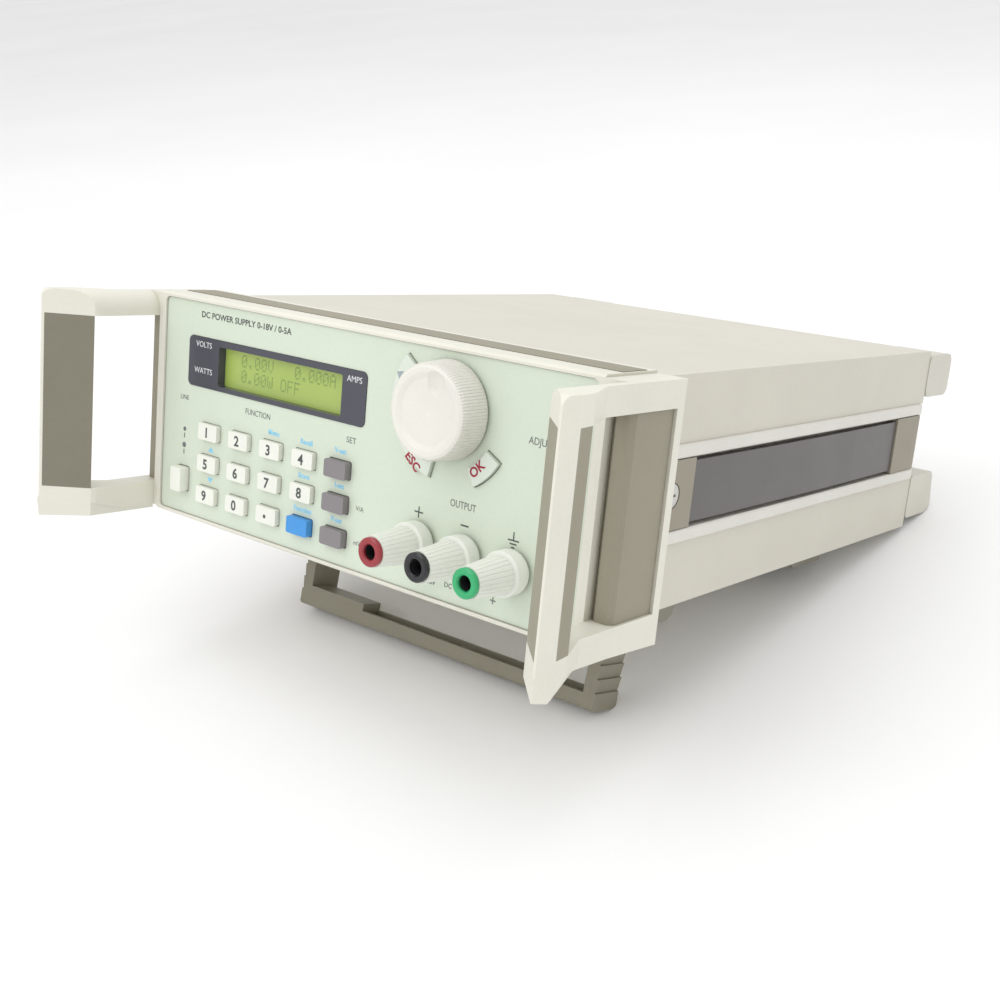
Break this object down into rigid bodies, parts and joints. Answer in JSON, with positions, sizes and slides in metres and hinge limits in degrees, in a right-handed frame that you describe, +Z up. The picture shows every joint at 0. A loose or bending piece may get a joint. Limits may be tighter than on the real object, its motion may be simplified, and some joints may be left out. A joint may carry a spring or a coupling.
{
  "type": "bench power supply",
  "caption": "Half-width bench power supply with side carrying handles, keypad, LCD window, rotary knob, binding posts and a fold-out tilt bail",
  "frame": {"origin": "centre of the bounding box's underside, on the bench top, with the bail down", "axes": "+X towards the output terminals' side, +Y level and away from the user, along the case, +Z up from the bench"},
  "size_m": [0.2308, 0.311, 0.1448],
  "materials": {
    "off_white_plastic": "fine satin moulding",
    "taupe_trim": "soft matt",
    "taupe_plastic": "fine matt moulding",
    "panel_overlay": "printed satin film",
    "dark_window": "smooth tinted",
    "lcd_glass": "yellow-green backlit",
    "circuit_board": "solder resist",
    "painted_sheet": "fine powder coat",
    "rail_plastic": "satin",
    "strap_rubber": "satin",
    "plated_steel": "zinc plated",
    "bumper_plastic": "satin moulding",
    "foot_rubber": "matt",
    "knob_plastic": "satin",
    "white_keys": "satin",
    "blue_key": "satin",
    "grey_keys": "satin",
    "red_ring_plastic": "smooth",
    "black_ring_plastic": "smooth",
    "green_ring_plastic": "smooth",
    "cap_plastic": "satin",
    "plated_brass": "nickel plated",
    "black_plastic": "satin"
  },
  "bodies": {
    "chassis": {"front_frame": "off_white_plastic", "left_handle": "off_white_plastic", "right_handle": "off_white_plastic", "left_grip": "taupe_trim", "right_grip": "taupe_trim", "left_pillar_trim": "taupe_trim", "right_pillar_trim": "taupe_trim", "top_trim": "taupe_trim", "front_panel": "panel_overlay", "lcd_window": "dark_window", "lcd_module": "lcd_glass", "front_board": "circuit_board", "top_cover": "painted_sheet", "bottom_cover": "painted_sheet", "left_rail": "rail_plastic", "right_rail": "rail_plastic", "left_strap": "strap_rubber", "right_strap": "strap_rubber", "left_front_cap": "taupe_plastic", "left_rear_cap": "taupe_plastic", "right_front_cap": "taupe_plastic", "right_rear_cap": "taupe_plastic", "strap_screws": "plated_steel", "rear_panel": "painted_sheet", "left_rear_bumper": "bumper_plastic", "right_rear_bumper": "bumper_plastic", "left_front_foot": "foot_rubber", "right_front_foot": "foot_rubber", "left_rear_foot": "foot_rubber", "right_rear_foot": "foot_rubber", "post_studs": "plated_brass", "power_board": "circuit_board", "mains_inlet": "black_plastic"},
    "knob_body": {"knob": "knob_plastic"},
    "tilt_bail_body": {"tilt_bail": "taupe_plastic"},
    "power_button_body": {"power_button": "white_keys"},
    "key_1_body": {"key_1": "white_keys"},
    "key_2_body": {"key_2": "white_keys"},
    "key_3_body": {"key_3": "white_keys"},
    "key_4_body": {"key_4": "white_keys"},
    "key_5_body": {"key_5": "white_keys"},
    "key_6_body": {"key_6": "white_keys"},
    "key_7_body": {"key_7": "white_keys"},
    "key_8_body": {"key_8": "white_keys"},
    "key_9_body": {"key_9": "white_keys"},
    "key_0_body": {"key_0": "white_keys"},
    "key_point_body": {"key_point": "white_keys"},
    "key_shift_body": {"key_shift": "blue_key"},
    "key_set_upper_body": {"key_set_upper": "grey_keys"},
    "key_set_middle_body": {"key_set_middle": "grey_keys"},
    "key_set_lower_body": {"key_set_lower": "grey_keys"},
    "key_cursor_body": {"key_cursor": "white_keys"},
    "key_esc_body": {"key_esc": "white_keys"},
    "key_ok_body": {"key_ok": "white_keys"},
    "red_ring_body": {"red_ring": "red_ring_plastic"},
    "red_cap_body": {"red_cap": "cap_plastic"},
    "black_ring_body": {"black_ring": "black_ring_plastic"},
    "black_cap_body": {"black_cap": "cap_plastic"},
    "green_ring_body": {"green_ring": "green_ring_plastic"},
    "green_cap_body": {"green_cap": "cap_plastic"}
  },
  "joints": [
    {"name": "knob_turn", "type": "hinge", "parent": "chassis", "child": "knob_body", "pos_m": [0.0423, -0.09996, 0.11698], "axis": [0, -0.9677, 0.2521], "continuous": true},
    {"name": "key_1_press", "type": "slide", "parent": "chassis", "child": "key_1_body", "axis": [0, 0.9677, -0.2521], "range_m": [0, 0.0008], "stiffness_N_per_m": 600, "springref_m": -0.001},
    {"name": "key_2_press", "type": "slide", "parent": "chassis", "child": "key_2_body", "axis": [0, 0.9677, -0.2521], "range_m": [0, 0.0008], "stiffness_N_per_m": 600, "springref_m": -0.001},
    {"name": "key_3_press", "type": "slide", "parent": "chassis", "child": "key_3_body", "axis": [0, 0.9677, -0.2521], "range_m": [0, 0.0008], "stiffness_N_per_m": 600, "springref_m": -0.001},
    {"name": "key_4_press", "type": "slide", "parent": "chassis", "child": "key_4_body", "axis": [0, 0.9677, -0.2521], "range_m": [0, 0.0008], "stiffness_N_per_m": 600, "springref_m": -0.001},
    {"name": "key_5_press", "type": "slide", "parent": "chassis", "child": "key_5_body", "axis": [0, 0.9677, -0.2521], "range_m": [0, 0.0008], "stiffness_N_per_m": 600, "springref_m": -0.001},
    {"name": "key_6_press", "type": "slide", "parent": "chassis", "child": "key_6_body", "axis": [0, 0.9677, -0.2521], "range_m": [0, 0.0008], "stiffness_N_per_m": 600, "springref_m": -0.001},
    {"name": "key_7_press", "type": "slide", "parent": "chassis", "child": "key_7_body", "axis": [0, 0.9677, -0.2521], "range_m": [0, 0.0008], "stiffness_N_per_m": 600, "springref_m": -0.001},
    {"name": "key_8_press", "type": "slide", "parent": "chassis", "child": "key_8_body", "axis": [0, 0.9677, -0.2521], "range_m": [0, 0.0008], "stiffness_N_per_m": 600, "springref_m": -0.001},
    {"name": "key_9_press", "type": "slide", "parent": "chassis", "child": "key_9_body", "axis": [0, 0.9677, -0.2521], "range_m": [0, 0.0008], "stiffness_N_per_m": 600, "springref_m": -0.001},
    {"name": "key_0_press", "type": "slide", "parent": "chassis", "child": "key_0_body", "axis": [0, 0.9677, -0.2521], "range_m": [0, 0.0008], "stiffness_N_per_m": 600, "springref_m": -0.001},
    {"name": "key_point_press", "type": "slide", "parent": "chassis", "child": "key_point_body", "axis": [0, 0.9677, -0.2521], "range_m": [0, 0.0008], "stiffness_N_per_m": 600, "springref_m": -0.001},
    {"name": "key_shift_press", "type": "slide", "parent": "chassis", "child": "key_shift_body", "axis": [0, 0.9677, -0.2521], "range_m": [0, 0.0008], "stiffness_N_per_m": 600, "springref_m": -0.001},
    {"name": "key_set_upper_press", "type": "slide", "parent": "chassis", "child": "key_set_upper_body", "axis": [0, 0.9677, -0.2521], "range_m": [0, 0.0008], "stiffness_N_per_m": 600, "springref_m": -0.001},
    {"name": "key_set_middle_press", "type": "slide", "parent": "chassis", "child": "key_set_middle_body", "axis": [0, 0.9677, -0.2521], "range_m": [0, 0.0008], "stiffness_N_per_m": 600, "springref_m": -0.001},
    {"name": "key_set_lower_press", "type": "slide", "parent": "chassis", "child": "key_set_lower_body", "axis": [0, 0.9677, -0.2521], "range_m": [0, 0.0008], "stiffness_N_per_m": 600, "springref_m": -0.001},
    {"name": "key_cursor_press", "type": "slide", "parent": "chassis", "child": "key_cursor_body", "axis": [0, 0.9677, -0.2521], "range_m": [0, 0.0008], "stiffness_N_per_m": 600, "springref_m": -0.001},
    {"name": "key_esc_press", "type": "slide", "parent": "chassis", "child": "key_esc_body", "axis": [0, 0.9677, -0.2521], "range_m": [0, 0.0008], "stiffness_N_per_m": 600, "springref_m": -0.001},
    {"name": "key_ok_press", "type": "slide", "parent": "chassis", "child": "key_ok_body", "axis": [0, 0.9677, -0.2521], "range_m": [0, 0.0008], "stiffness_N_per_m": 600, "springref_m": -0.001},
    {"name": "power_button_press", "type": "slide", "parent": "chassis", "child": "power_button_body", "axis": [0, 0.9677, -0.2521], "range_m": [0, 0.0018], "stiffness_N_per_m": 600, "springref_m": -0.002},
    {"name": "bail_fold", "type": "hinge", "parent": "chassis", "child": "tilt_bail_body", "pos_m": [0, -0.05362, 0.03981], "axis": [1, 0, 0], "range_deg": [0, 92]},
    {"name": "red_post_travel", "type": "slide", "parent": "chassis", "child": "red_ring_body", "axis": [0, -0.9677, 0.2521], "range_m": [0, 0.005]},
    {"name": "red_post_turn", "type": "hinge", "parent": "red_ring_body", "child": "red_cap_body", "pos_m": [0.034, -0.12262, 0.07762], "axis": [0, -0.9677, 0.2521], "range_deg": [0, 1802]},
    {"name": "black_post_travel", "type": "slide", "parent": "chassis", "child": "black_ring_body", "axis": [0, -0.9677, 0.2521], "range_m": [0, 0.005]},
    {"name": "black_post_turn", "type": "hinge", "parent": "black_ring_body", "child": "black_cap_body", "pos_m": [0.053, -0.12262, 0.07762], "axis": [0, -0.9677, 0.2521], "range_deg": [0, 1802]},
    {"name": "green_post_travel", "type": "slide", "parent": "chassis", "child": "green_ring_body", "axis": [0, -0.9677, 0.2521], "range_m": [0, 0.005]},
    {"name": "green_post_turn", "type": "hinge", "parent": "green_ring_body", "child": "green_cap_body", "pos_m": [0.072, -0.12262, 0.07762], "axis": [0, -0.9677, 0.2521], "range_deg": [0, 1802]}
  ],
  "couplings": [
    {"joint": "red_post_turn", "follows": "red_post_travel", "rad_per_m": 6283.2},
    {"joint": "black_post_turn", "follows": "black_post_travel", "rad_per_m": 6283.2},
    {"joint": "green_post_turn", "follows": "green_post_travel", "rad_per_m": 6283.2}
  ]
}
